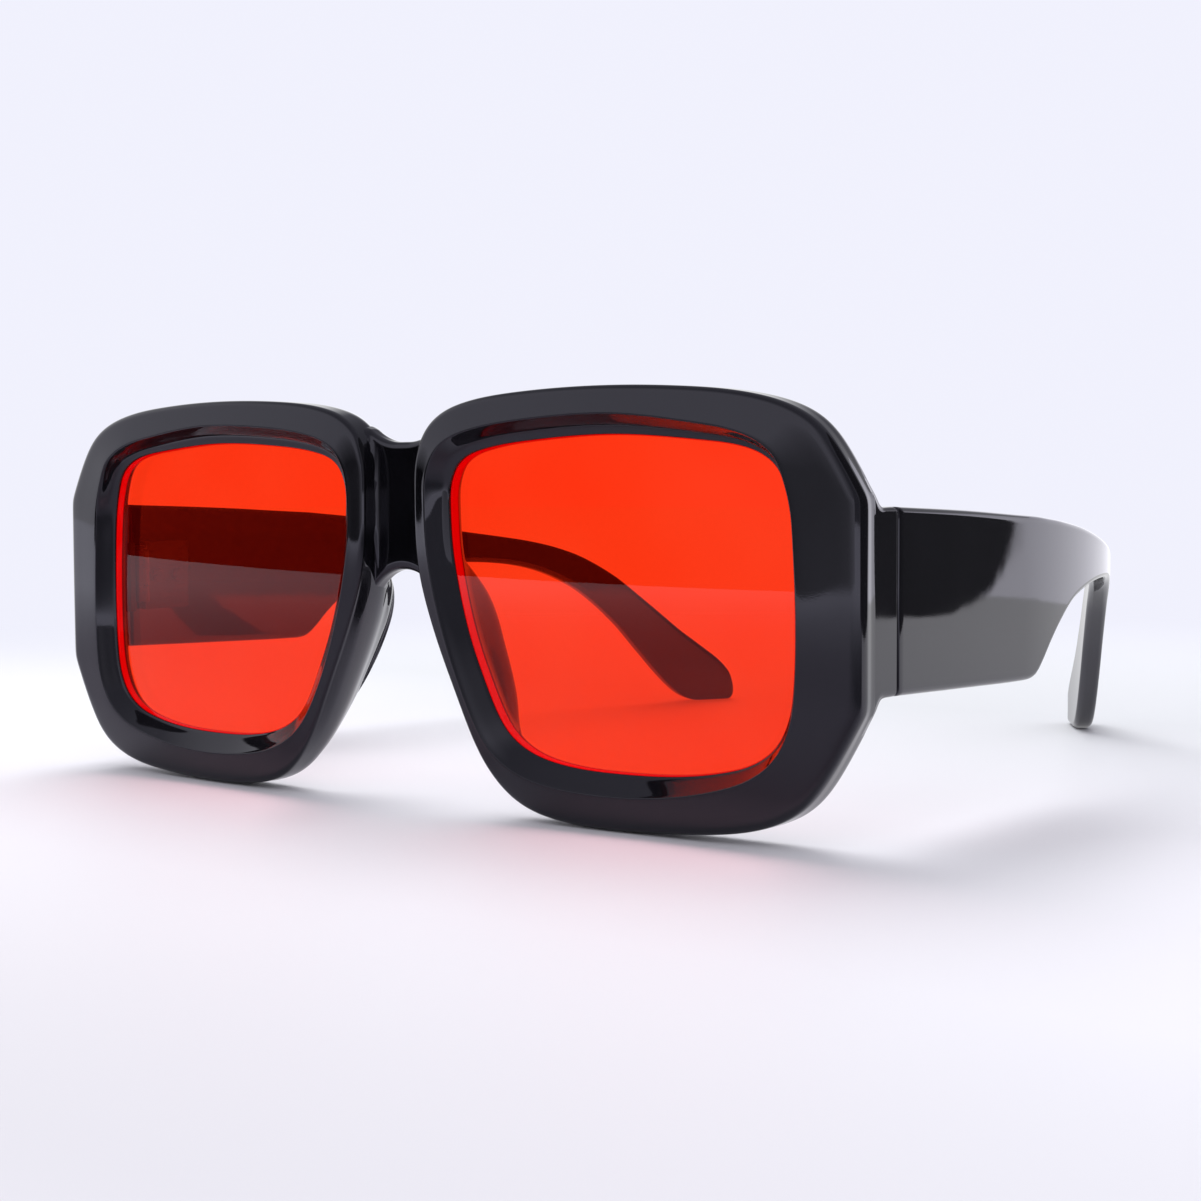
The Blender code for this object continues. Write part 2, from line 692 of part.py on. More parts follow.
def build_leaf_screws(side, label, mat, pivot):
    length = screw_reach() - HINGE_CLEARANCE
    mesh = screw_mesh("leaf_screw_" + label, LEAF_SCREW_RADIUS, length,
                      LEAF_SCREW_HEAD_RADIUS, LEAF_SCREW_HEAD_HEIGHT)
    groups = (
        ("front_leaf_screw", front_screw_places(side), Vector((0, 1, 0)), None),
        ("temple_leaf_screw", temple_screw_places(side), Vector((-side, 0, 0)), pivot))
    for stem, places, outward, parent in groups:
        for number, place in enumerate(places, start=1):
            screw = link_mesh(f"{stem}_{label}_{number}", mesh, mat)
            screw.rotation_mode = "QUATERNION"
            screw.rotation_quaternion = outward.to_track_quat("Z", "Y")
            screw.location = place + outward * HINGE_CLEARANCE
            if parent is not None:
                screw.location -= parent.location
                screw.parent = parent


def hinge_pivot(side, label):
    pivot = bpy.data.objects.new("hinge_axis_" + label, None)
    pivot.location = (side * HINGE_X, HINGE_Y, HINGE_Z)
    PARTS.objects.link(pivot)
    return pivot


def build_sunglasses():
    plastic = material("gloss_black_plastic", BLACK, 0.08, 0.0)
    tint = material("red_lens", RED, 0.02, 0.0)
    steel = material("hinge_steel", STEEL, 0.3, 1.0)
    build_front(plastic)
    for side, label in ((1, "left"), (-1, "right")):
        pivot = hinge_pivot(side, label)
        build_lens(side, label, tint)
        build_temple(side, label, plastic, pivot)
        build_front_leaf(side, label, steel)
        build_temple_leaf(side, label, steel, pivot)
        build_pivot_screw(side, label, steel)
        build_leaf_screws(side, label, steel, pivot)


build_sunglasses()
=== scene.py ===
import math

import bmesh
import bpy
from mathutils import Matrix, Vector


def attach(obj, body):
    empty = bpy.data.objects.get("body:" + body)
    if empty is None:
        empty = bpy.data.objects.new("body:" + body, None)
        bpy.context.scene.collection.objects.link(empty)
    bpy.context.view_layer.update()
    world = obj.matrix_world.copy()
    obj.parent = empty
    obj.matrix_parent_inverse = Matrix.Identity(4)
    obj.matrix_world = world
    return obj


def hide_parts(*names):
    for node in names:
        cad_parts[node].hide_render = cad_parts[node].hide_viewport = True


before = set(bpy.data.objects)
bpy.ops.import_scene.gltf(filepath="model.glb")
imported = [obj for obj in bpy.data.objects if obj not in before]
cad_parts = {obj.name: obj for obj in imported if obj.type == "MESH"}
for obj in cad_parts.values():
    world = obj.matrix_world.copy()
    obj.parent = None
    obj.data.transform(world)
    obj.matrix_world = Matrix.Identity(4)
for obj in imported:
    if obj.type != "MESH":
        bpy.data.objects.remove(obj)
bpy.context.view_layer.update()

# Lengths are in metres. X runs to the wearer's left, Y back from the front, Z up from the table.

# Front moulding
LENS_WIDTH = 0.0531
LENS_HEIGHT = 0.0435
LENS_SPACING = 0.0194
NOSE_BAND = 0.0051
SIDE_BAND = 0.0097
TOP_BAND = 0.0062
LOW_BAND = 0.0072
WRAP_RADIUS = 0.850
RIM_DEPTH = 0.0060
CROWN_RISE = 0.0008
CROWN_TILT = 0.21
SLOPE_WIDTH = 0.0026
SIDE_SLOPE_WIDTH = 0.0017
EDGE_ROUND_SHARE = 0.16
BACK_ROUND = 0.0018
LIP_DROP = 0.0020
CREST_ROUND = 0.00007
LIP_ROUND = 0.00028
GROOVE_DEPTH = 0.0005
GROOVE_CLEARANCE = 0.0001
BACK_FLARE = 0.0006
BACK_DIP = 0.00002
RIM_WIDTH = NOSE_BAND + LENS_WIDTH + SIDE_BAND
FRONT_HEIGHT = LOW_BAND + LENS_HEIGHT + TOP_BAND
NOSE_X = LENS_SPACING / 2 - NOSE_BAND
OUTER_X = NOSE_X + RIM_WIDTH

# Lenses
LENS_THICKNESS = 0.0024
LENS_RECESS = 0.00025
LENS_RADIUS = 0.880
LENS_REACH = 0.0296
LENS_SEAT = 0.00012
LENS_EDGE_ROUND = 0.00006
LENS_FACE_STEPS = 20
LENS_LAST_SHARES = [0.975, 0.990, 0.996]
LENS_EDGE_ANGLES = (0, 15, 40, 90, 140, 165, 180)

# Bridge
BRIDGE_SETBACK = 0.0030
BRIDGE_BACK = 0.0059
BRIDGE_TOP = 0.0503
BRIDGE_ARCH_TOP = 0.0326
BRIDGE_ARCH_HEIGHT = 0.0090
BRIDGE_ARCH_HALF_WIDTH = 0.0078
BRIDGE_FLARE = 0.0019
BRIDGE_FLARE_START = 0.0008
BRIDGE_FLARE_END = 0.0064
BRIDGE_FLARE_SLOPE = 0.36
BRIDGE_FILLET = 0.0006
BRIDGE_CORNER = 0.0009
BRIDGE_OVERLAP = 0.0031
BRIDGE_COLUMNS = 96

# Endpieces
ENDPIECE_BACK = 0.01275
ENDPIECE_LEAN = 0.0004
LEAN_START = 0.00130
LEAN_END = 0.00380
EDGE_RUN = 0.00045
ENDPIECE_CORNER = 0.0008
ENDPIECE_EDGE = 0.0003
ENDPIECE_FILLET_SHARE = 0.42
ENDPIECE_STEPS = 14
ENDPIECE_STEPS_REACH = 0.96
ENDPIECE_LAST_WAYS = [0.965, 0.980, 0.993, 1.0]
ENDPIECE_SMOOTHING = 4

# Temples
TEMPLE_TOP = 0.0414
TEMPLE_LOW = 0.0183
TEMPLE_THICKNESS = 0.0042
ARM_THICKNESS = 0.0033
TEMPLE_LENGTH = 0.1392
TEMPLE_STRAIGHT = 0.0354
TEMPLE_BEND_LENGTH = 0.0658
TEMPLE_BEND_RADIUS = 0.145
TEMPLE_TIP_RADIUS = 0.400
TEMPLE_CORNER = 0.0009
TEMPLE_STEPS = 150
TOE_STEPS = 7
TOE_HALF_THICKNESS = 0.00001
HINGE_GAP = 0.0004
TEMPLE_OUTER_X = OUTER_X - ENDPIECE_LEAN
TEMPLE_INNER_X = TEMPLE_OUTER_X - TEMPLE_THICKNESS
BEND_ANGLE = TEMPLE_BEND_LENGTH / TEMPLE_BEND_RADIUS
TIP_ANGLE = (TEMPLE_LENGTH - TEMPLE_STRAIGHT - TEMPLE_BEND_LENGTH) / TEMPLE_TIP_RADIUS

# The frame is centred front to back, which places the front edge at the middle of the bridge
TOE_BACK = ENDPIECE_BACK + HINGE_GAP + TEMPLE_STRAIGHT + TEMPLE_BEND_RADIUS * math.sin(BEND_ANGLE)
TOE_BACK += TEMPLE_TIP_RADIUS * (math.sin(BEND_ANGLE + TIP_ANGLE) - math.sin(BEND_ANGLE))
FRONT_Y = (CROWN_RISE - TOE_BACK) / 2
TEMPLE_Y = FRONT_Y + ENDPIECE_BACK + HINGE_GAP

# Rim knots: outer x and z as shares of the rim's box, opening x and z as shares of its own box
RIM_KNOTS = (
    (0.000, 0.759, 0.000, 0.777),
    (0.004, 0.844, 0.003, 0.857),
    (0.037, 0.923, 0.034, 0.924),
    (0.109, 0.968, 0.100, 0.959),
    (0.242, 0.991, 0.241, 0.984),
    (0.458, 1.000, 0.505, 1.000),
    (0.669, 0.989, 0.759, 0.977),
    (0.794, 0.968, 0.878, 0.954),
    (0.882, 0.930, 0.949, 0.906),
    (0.938, 0.868, 0.977, 0.830),
    (1.000, 0.745, 0.992, 0.720),
    (1.000, 0.527, 1.000, 0.478),
    (1.000, 0.301, 0.994, 0.248),
    (0.934, 0.160, 0.970, 0.147),
    (0.873, 0.076, 0.925, 0.083),
    (0.776, 0.028, 0.846, 0.039),
    (0.639, 0.008, 0.693, 0.007),
    (0.462, 0.000, 0.495, 0.000),
    (0.330, 0.012, 0.354, 0.011),
    (0.242, 0.051, 0.249, 0.044),
    (0.169, 0.139, 0.174, 0.110),
    (0.107, 0.283, 0.112, 0.246),
    (0.046, 0.441, 0.054, 0.416),
    (0.007, 0.589, 0.011, 0.628),
)

# Numbers of the knots at the rim's crisp corners and at the ends of its endpiece, walls and pad
TOP_CORNER = 10
LOW_CORNER = 12
ENDPIECE_TOP_KNOT = 9.5
ENDPIECE_LOW_KNOT = 12.5
SIDE_WALL_FIRST_KNOT = 8
SIDE_WALL_LAST_KNOT = 14
NOSE_WALL_FIRST_KNOT = 20
NOSE_WALL_LAST_KNOT = 4
PAD_FIRST_KNOT = 18
PAD_LAST_KNOT = 2

# How finely the shapes are drawn, and how much they are evened out
OUTLINE_STEPS = 12
SOFTENING_ROUNDS = 12
CORNER_ROUNDS = 4
SECTION_STEPS = 3
PROFILE_STEPS = 8
CORNER_STEPS = 6
SIDE_SHARES = (0.02, 0.08, 0.3, 0.7, 0.92, 0.98)

# Nose pad: how far it stands off the rim's back at heights above the table
PAD_PROFILE = (
    (0.0050, 0.0000), (0.0090, 0.0020), (0.0130, 0.0040), (0.0175, 0.0052), (0.0220, 0.0058),
    (0.0260, 0.0059), (0.0290, 0.0050), (0.0315, 0.0030), (0.0335, 0.0010), (0.0350, 0.0000),
)
PAD_DEPTH = max(depth for _, depth in PAD_PROFILE)
PAD_SLANT = 0.34
PAD_SWELL = 0.0007

# Temple's side view: share of its length, top and bottom as shares of its height at the hinge
TEMPLE_PROFILE = (
    (0.000, 1.000, 0.442),
    (0.140, 0.983, 0.428),
    (0.256, 0.963, 0.418),
    (0.281, 0.959, 0.423),
    (0.296, 0.956, 0.452),
    (0.321, 0.949, 0.522),
    (0.350, 0.941, 0.589),
    (0.386, 0.929, 0.650),
    (0.429, 0.914, 0.686),
    (0.487, 0.889, 0.708),
    (0.559, 0.857, 0.713),
    (0.618, 0.831, 0.703),
    (0.667, 0.806, 0.676),
    (0.711, 0.773, 0.626),
    (0.754, 0.722, 0.548),
    (0.805, 0.628, 0.403),
    (0.848, 0.520, 0.242),
    (0.884, 0.425, 0.109),
    (0.910, 0.355, 0.034),
    (0.931, 0.305, 0.004),
    (0.949, 0.262, 0.000),
    (0.972, 0.205, 0.000),
    (0.988, 0.150, 0.000),
    (1.000, 0.080, 0.000),
)
TAPER_START = 0.28
TAPER_END = 0.58

# Camera, fitted to the outlines of both lenses and to where the pair touches the table
CAMERA_PLACE = Vector((0.18771, FRONT_Y - 0.20043, 0.04407))
CAMERA_YAW = math.radians(36.9974)
CAMERA_PITCH = math.radians(3.3016)
CAMERA_ROLL = math.radians(-0.2793)
CAMERA_LENS = 59.50
CAMERA_SENSOR = 36
CAMERA_CLIP = 0.01

# Black plastic
PLASTIC_TONES = ((0.0020, 0.0020, 0.0028, 1), (0.0034, 0.0032, 0.0044, 1))
PLASTIC_MIRROR_TINT = (0.90, 0.88, 1.0, 1)
PLASTIC_IOR = 1.74
PLASTIC_ROUGHNESS = (0.015, 0.05)
HAZE_SCALE = 90
WAVE_SCALE = 170
WAVE_DEPTH = 0.0004
WAVE_STRENGTH = 0.018
GRAIN_SCALE = 5200
GRAIN_DEPTH = 0.00002
GRAIN_STRENGTH = 0.03

# Red lens with a faint painted glow, and painted light at its cut edge
LENS_TINTS = ((1.0, 0.038, 0.006, 1), (1.0, 0.046, 0.009, 1))
# Painted glow over the whole lens, brightening its red beyond the light that passes through it
LENS_PAINTED_GLOW = (1.0, 0.0, 0.004, 1)
LENS_PAINTED_GLOW_STRENGTH = 0.018
LENS_IOR = 1.42
LENS_SMEAR = 0.01
CUT_EDGE_TINTS = ((0.50, 0.0, 0.001, 1), (0.60, 0.0, 0.001, 1))
# Painted light at the lens's cut edge: an opaque red strip that gives off light, standing in for light
# caught inside the edge
CUT_EDGE_PAINTED_LIGHT = (1.0, 0.0, 0.001, 1)
CUT_EDGE_PAINTED_LIGHT_STRENGTH = 0.40
CUT_EDGE_ROUGHNESS = 0.5
CLOUD_SCALE = 60
SMEAR_SCALE = 140
RED_CAST = (1.0, 0.77, 0.79, 1)

# Hinge steel
STEEL_TONES = ((0.035, 0.034, 0.036, 1), (0.075, 0.073, 0.072, 1))
STEEL_ROUGHNESS = (0.26, 0.40)
BRUSH_SCALE = (9000, 900, 9000)
BRUSH_DEPTH = 0.00002
BRUSH_STRENGTH = 0.15

# Table. It fades into the backdrop's colour, in mirrors farther out but sooner behind the front.
# Ranges are stretches in metres, to the side or front to back, where one tone gives way to another.
FLOOR_HALF_SIZE = 3.0
FLOOR_GAP = 0.0001
FLOOR_COLOUR = (0.870, 0.878, 0.922, 1)
FLOOR_COLOUR_WARM = (0.880, 0.862, 0.905, 1)
# Painted shade on the table: darker near the camera and behind the glasses
FLOOR_PAINTED_SHADE_NEAR = (0.748, 0.734, 0.768, 1)
FLOOR_PAINTED_SHADE_BEHIND = (0.680, 0.695, 0.715, 1)
# Painted shade seen only in reflections: the table in front of the glasses, darker still to the side
FLOOR_PAINTED_SHADE_MIRRORED = (0.33, 0.315, 0.36, 1)
FLOOR_PAINTED_SHADE_MIRRORED_ASIDE = (0.13, 0.13, 0.15, 1)
FLOOR_ROUGHNESS = 0.55
FLOOR_SHINE = 0.2
MOTTLE_SCALE = 3
NEAR_RANGE = (-0.19, -0.12)
FRONT_RANGE = (-0.086, -0.050)
BEHIND_RANGE = (-0.04, 0.08)
ASIDE_RANGE = (0.06, 0.16)
FADE_START = 0.13
FADE_END = 0.36
MIRRORED_FADE_START = 0.25
MIRRORED_FADE_END = 0.75
MIRRORED_HAZE_SHIFT = 0.4

# Backdrop and studio light, and what mirrors see of it. Ranges are parts of a ray's direction.
BACKDROP = (0.878, 0.882, 0.985, 1)
BACKDROP_THROUGH = (1.0, 0.93, 1.0, 1)
WORLD_LIGHT = (0.66, 0.655, 0.70, 1)
MIRRORED_FRONT = (0.62, 0.62, 0.68, 1)
MIRRORED_BACK = (0.98, 0.98, 1.0, 1)
MIRRORED_CAMERA = (0.19, 0.19, 0.22, 1)
MIRRORED_CEILING = (0.24, 0.24, 0.28, 1)
CAMERA_SIDE_RANGE = (0.25, 0.60)
FRONT_TO_BACK_RANGE = (-0.4, 0.4)
CEILING_RANGE = (0.45, 0.75)
CEILING_SLANT = 0.3

# Dark boards beside and before the table, seen only as reflections
FLAG_BESIDE = dict(
    foot=(0.251, 0.356, 0.0), heading=-65, width=0.60, height=0.50, glow=0.07, corner=0.035)
FLAG_BEFORE = dict(foot=(-1.60, -0.67, 0.0), heading=0, width=2.05, height=0.24, glow=0.008, fade=0.76)
FLAG_CORNER_STEPS = 12
FLAG_MOTTLE_SCALE = 40

# Softboxes
SOFTBOX_OVERHEAD = dict(
    place=(-0.45, 0.35, 0.90), target=(0, 0, 0), width=0.8, height=0.8,
    power=9.6, colour=(1, 1, 1), mirrored=False)
SOFTBOX_BEHIND = dict(
    place=(0.10, 0.44, 0.11), target=(0.10, 0.0, 0.11), width=0.44, height=0.22,
    power=0.17, colour=(0.84, 0.82, 1.0), mirrored=True)

# Where most of a noise's values lie
NOISE_LOW = 0.3
NOISE_HIGH = 0.7

MERGE_DISTANCE = 0.0000005


def hermite(a, b, slope_a, slope_b, t):
    """Point at share t of the smooth stretch from a to b that has these slopes at its ends."""
    return (
        a * (2 * t**3 - 3 * t**2 + 1) + slope_a * (t**3 - 2 * t**2 + t)
        + b * (3 * t**2 - 2 * t**3) + slope_b * (t**3 - t**2))


def curve_through(points, steps, closed=False, crisp=()):
    """Smooth run of points through the given ones, with even steps between each pair."""
    count = len(points)
    run = []
    for i in range(count if closed else count - 1):
        here, after = points[i], points[(i + 1) % count]
        before = points[i - 1] if closed or i > 0 else here
        beyond = points[(i + 2) % count] if closed or i + 2 < count else after
        chord = (after - here).length
        start = Vector((0, 0)) if i in crisp else (after - before).normalized() * chord
        end = (beyond - here).normalized() * chord
        if (i + 1) % count in crisp:
            end = Vector((0, 0))
        run += [hermite(here, after, start, end, step / steps) for step in range(steps)]
    return run if closed else run + [points[-1]]


def soften(points, fixed, rounds=SOFTENING_ROUNDS):
    """Even out the curvature of a closed run, leaving its crisp corners where they are."""
    for _ in range(rounds):
        count = len(points)
        points = [
            p if i in fixed else p * 0.5 + (points[i - 1] + points[(i + 1) % count]) * 0.25
            for i, p in enumerate(points)]
    return points


def rim_outlines():
    """The rim's outer outline and its opening, point for point, on the wearer's left."""
    outer = [Vector((NOSE_X + x * RIM_WIDTH, z * FRONT_HEIGHT)) for x, z, _, _ in RIM_KNOTS]
    opening = [
        Vector((LENS_SPACING / 2 + x * LENS_WIDTH, LOW_BAND + z * LENS_HEIGHT))
        for _, _, x, z in RIM_KNOTS]
    outer = curve_through(outer, OUTLINE_STEPS, closed=True, crisp=(TOP_CORNER, LOW_CORNER))
    opening = curve_through(opening, OUTLINE_STEPS, closed=True)
    corners = {TOP_CORNER * OUTLINE_STEPS, LOW_CORNER * OUTLINE_STEPS}
    outer = soften(soften(outer, corners), (), CORNER_ROUNDS)
    for point in outer:
        point.x = min(point.x, OUTER_X)
        point.y = min(max(point.y, 0.0), FRONT_HEIGHT)
    return outer, soften(opening, ())


OUTER, OPENING = rim_outlines()
COLUMNS = len(OUTER)


def edge_y(x):
    """Front edge of the wrapped front at this distance from the middle."""
    return FRONT_Y + x**2 / (2 * WRAP_RADIUS)


def eased(t):
    """Share between 0 and 1 that starts and ends gently."""
    return t * t * (3 - 2 * t)


def read_profile(pairs, at):
    """Value at a place, between the nearest pairs of place and value."""
    if at <= pairs[0][0]:
        return pairs[0][1]
    for (x0, y0), (x1, y1) in zip(pairs, pairs[1:]):
        if at <= x1:
            return y0 + (y1 - y0) * (at - x0) / (x1 - x0)
    return pairs[-1][1]


def fine_profile(pairs):
    """Smooth run of pairs of place and value through the given ones."""
    return [tuple(point) for point in curve_through([Vector(pair) for pair in pairs], PROFILE_STEPS)]


PAD_HEIGHTS = fine_profile(PAD_PROFILE)


def pad_height(column):
    """How far the nose pad stands off the rim's back at this column."""
    knot = column / OUTLINE_STEPS
    if PAD_LAST_KNOT < knot < PAD_FIRST_KNOT:
        return 0.0
    return read_profile(PAD_HEIGHTS, OUTER[column].y)


# Places in the rim's section of the endpiece's inner and outer walls, and its crisp corners
SHELF_POINT = 8
WALL_POINT = 12
CRISP_POINTS = (1, 2, 3, 4)


def rim_section(band, pad, cove, slope_width):
    """Distance across the band and set-back behind the front edge, once round from the lens."""
    edge = EDGE_ROUND_SHARE * band
    crest = band - slope_width
    face = crest - edge
    rise = min(face * CROWN_TILT, CROWN_RISE)
    drop = LIP_DROP - LIP_ROUND + rise
    slope = slope_width - LIP_ROUND
    wall = RIM_DEPTH - BACK_ROUND
    swell = PAD_SWELL * pad / PAD_DEPTH
    seat = LIP_DROP + LENS_RECESS
    seat_back = seat + LENS_THICKNESS + GROOVE_CLEARANCE
    return [Vector(point) for point in (
        # Lip and lens groove
        (band, LIP_DROP),
        (band, seat),
        (band - GROOVE_DEPTH, seat),
        (band - GROOVE_DEPTH, seat_back),
        (band, seat_back),
        # Back, with the nose pad
        (band - BACK_FLARE, RIM_DEPTH - BACK_FLARE * 0.2 + pad * 0.06),
        (band * 0.82, RIM_DEPTH + pad * 0.35),
        (band * 0.72, RIM_DEPTH + pad * 0.88),
        (band * 0.56, RIM_DEPTH + pad),
        (BACK_ROUND * 0.95 + pad * PAD_SLANT * 0.55, RIM_DEPTH - BACK_DIP + pad * 0.94),
        (BACK_ROUND * 0.56 + pad * PAD_SLANT * 0.50, RIM_DEPTH - BACK_ROUND * 0.10 + pad * 0.76),
        (BACK_ROUND * 0.20 + pad * PAD_SLANT * 0.30, RIM_DEPTH - BACK_ROUND * 0.40 + pad * 0.50),
        # Side wall and outer round
        (pad * PAD_SLANT * 0.05 - swell, wall + pad * 0.20),
        (-swell, (wall + edge) / 2),
        (-swell * 0.3, edge + EDGE_RUN),
        (0.0, edge),
        (edge * 0.076, edge * 0.617),
        (edge * 0.293, edge * 0.293),
        (edge * 0.617, edge * 0.086),
        # Crowned face up to its crest
        (edge, -rise * 0.04),
        (edge + face * 0.36, -rise * 0.40),
        (edge + face * 0.72, -rise * 0.76),
        (crest - CREST_ROUND * 2, -rise),
        (crest, -rise + CREST_ROUND * 0.3),
        # Slope down to the lip
        (crest + CREST_ROUND * 1.4, -rise + CREST_ROUND * 1.8),
        (crest + slope * 0.38, -rise + drop * (0.38 + 0.14 * cove)),
        (crest + slope * 0.70, -rise + drop * (0.70 + 0.20 * cove)),
        (band - LIP_ROUND, LIP_DROP - LIP_ROUND),
        (band - LIP_ROUND * (0.45 - 0.16 * cove), LIP_DROP - LIP_ROUND * (0.50 + 0.21 * cove)),
    )]


ROWS = len(rim_section(LOW_BAND, 0.0, 0.0, SLOPE_WIDTH)) * SECTION_STEPS


def finish_piece(name, bm, material):
    """Weld a mesh, turn its faces outward and put it in the scene."""
    bmesh.ops.remove_doubles(bm, verts=bm.verts[:], dist=MERGE_DISTANCE)
    bmesh.ops.recalc_face_normals(bm, faces=bm.faces[:])
    mesh = bpy.data.meshes.new(name)
    bm.to_mesh(mesh)
    bm.free()
    mesh.shade_smooth()
    mesh.materials.append(material)
    piece = bpy.data.objects.new(name, mesh)
    bpy.context.scene.collection.objects.link(piece)
    return piece


def cover(bm, columns, rows, place):
    """Lay a grid over a surface: place gives the point for a column and a row."""
    grid = bmesh.ops.create_grid(bm, x_segments=columns, y_segments=rows, size=0.5)
    marks = {}
    for vert in grid["verts"]:
        column = round((vert.co.x + 0.5) * columns)
        row = round((vert.co.y + 0.5) * rows)
        vert.co = place(column, row)
        marks[vert] = (column, row)
    return marks


def rim_sections():
    """The rim's section at each column, as shares across the band and set-backs."""
    sections = []
    for i in range(COLUMNS):
        band = (OPENING[i] - OUTER[i]).length
        cove = eased(min(max((OPENING[i].y - LOW_BAND) / LENS_HEIGHT * 2 - 1, 0.0), 1.0))
        aside = eased(min(max((OPENING[i].x - LENS_SPACING / 2) / LENS_WIDTH * 2 - 1, 0.0), 1.0))
        slope_width = SLOPE_WIDTH + (SIDE_SLOPE_WIDTH - SLOPE_WIDTH) * aside
        points = rim_section(band, pad_height(i), cove, slope_width)
        run = curve_through(points, SECTION_STEPS, closed=True, crisp=CRISP_POINTS)
        sections.append([(point.x / band, point.y) for point in run])
    return sections


def wall_x(stretches, z):
    """Distance from the middle at this height, on stretches with a lower and an upper end."""
    for lower, upper in stretches:
        if lower.y <= z <= upper.y:
            return lower.x + (upper.x - lower.x) * (z - lower.y) / (upper.y - lower.y)
    return None


def side_wall_x(z):
    """Distance from the middle of the rim's temple side at this height."""
    side = OUTER[SIDE_WALL_FIRST_KNOT * OUTLINE_STEPS:SIDE_WALL_LAST_KNOT * OUTLINE_STEPS + 1]
    x = wall_x(zip(side[1:], side), z)
    return OUTER_X if x is None else x


def side_lean(x, setback):
    """How far the rim's side draws in behind its front edge, down to the endpiece's width."""
    depth = (setback - LEAN_START) / (LEAN_END - LEAN_START)
    nearness = max(1 - (OUTER_X - x) / SIDE_BAND, 0.0)
    return ENDPIECE_LEAN * eased(min(max(depth, 0.0), 1.0)) * nearness


def endpiece_section(height_share, row_share, inset):
    """Point of the endpiece's rounded end, from its low inner corner to its top outer one."""
    half_width = TEMPLE_THICKNESS / 2
    half_height = (TEMPLE_TOP - TEMPLE_LOW) / 2
    x = -math.cos(math.pi * row_share) * half_width
    z = -math.cos(math.pi * height_share) * half_height
    over_x = (abs(x) - half_width) / ENDPIECE_CORNER + 1
    over_z = (abs(z) - half_height) / ENDPIECE_CORNER + 1
    if over_x > 0 and over_z > 0:
        x -= math.copysign(ENDPIECE_CORNER * over_x * (1 - math.sqrt(1 - over_z**2 / 2)), x)
        z -= math.copysign(ENDPIECE_CORNER * over_z * (1 - math.sqrt(1 - over_x**2 / 2)), z)
    x *= 1 - inset / half_width
    z *= 1 - inset / half_height
    return (TEMPLE_OUTER_X + TEMPLE_INNER_X) / 2 + x, (TEMPLE_TOP + TEMPLE_LOW) / 2 + z


def endpiece_point(start, height_share, row_share, side, way):
    """Where a point of the rim's back goes, this share of the way out to the hinge."""
    start_x = abs(start.x)
    setback = start.y - edge_y(start_x)
    back = setback + (ENDPIECE_BACK - setback) * way
    past = max(back - ENDPIECE_BACK + ENDPIECE_EDGE, 0.0)
    inset = ENDPIECE_EDGE - math.sqrt(ENDPIECE_EDGE**2 - past**2)
    end_x, end_z = endpiece_section(height_share, row_share, inset)
    turn = min(way / ENDPIECE_FILLET_SHARE, 1.0)
    blend = math.sqrt(1 - (1 - turn)**2)
    z = start.z + (end_z - start.z) * blend
    depth_in = side_wall_x(start.z) - ENDPIECE_LEAN - start_x
    depth_in += (TEMPLE_OUTER_X - end_x - depth_in) * blend
    x = side_wall_x(z) - ENDPIECE_LEAN - depth_in
    y = edge_y(start_x) * (1 - way) + FRONT_Y * way + back
    return Vector((side * x, y, z))


def draw_out_endpiece(bm, marks, side):
    """Draw the outer part of the rim's back out to the hinge, with a concave start."""
    first = round(ENDPIECE_TOP_KNOT * OUTLINE_STEPS)
    last = round(ENDPIECE_LOW_KNOT * OUTLINE_STEPS)
    shelf, wall = SHELF_POINT * SECTION_STEPS, WALL_POINT * SECTION_STEPS
    spot = bm.verts.layers.int["spot"]
    starts = []
    for vert, (column, row) in marks.items():
        if first <= column <= last and shelf <= row <= wall:
            height_share = (last - column) / (last - first)
            starts.append((vert.co.copy(), height_share, (row - shelf) / (wall - shelf)))
            vert[spot] = len(starts)
    faces = [face for face in bm.faces if all(vert[spot] for vert in face.verts)]
    ways = [
        ENDPIECE_STEPS_REACH * (step / ENDPIECE_STEPS)**2 for step in range(1, ENDPIECE_STEPS + 1)]
    for way in ways + ENDPIECE_LAST_WAYS:
        edges = list({edge for face in faces for edge in face.edges})
        made = bmesh.ops.extrude_face_region(bm, geom=faces + edges)["geom"]
        faces = [item for item in made if isinstance(item, bmesh.types.BMFace)]
        for item in made:
            if isinstance(item, bmesh.types.BMVert):
                item.co = endpiece_point(*starts[item[spot] - 1], side, way)
    joints = [
        vert for vert in bm.verts
        if vert[spot] and starts[vert[spot] - 1][1] in (0.0, 1.0)
        and vert.co.y < FRONT_Y + ENDPIECE_BACK - ENDPIECE_CORNER]
    for _ in range(ENDPIECE_SMOOTHING):
        bmesh.ops.smooth_vert(
            bm, verts=joints, factor=0.5, use_axis_x=False, use_axis_y=True, use_axis_z=True)


def build_rim(name, side, material):
    """One rim with its nose pad and endpiece; side is 1 for the wearer's left, -1 for the right."""
    bm = bmesh.new()
    bm.verts.layers.int.new("spot")
    sections = rim_sections()

    def place(column, row):
        i = column % COLUMNS
        share, setback = sections[i][row % ROWS]
        x, z = OUTER[i].lerp(OPENING[i], share)
        y = edge_y(x) + setback
        return Vector((side * (x - side_lean(x, setback)), y, z))

    marks = cover(bm, COLUMNS, ROWS, place)
    draw_out_endpiece(bm, marks, side)
    return finish_piece(name, bm, material)


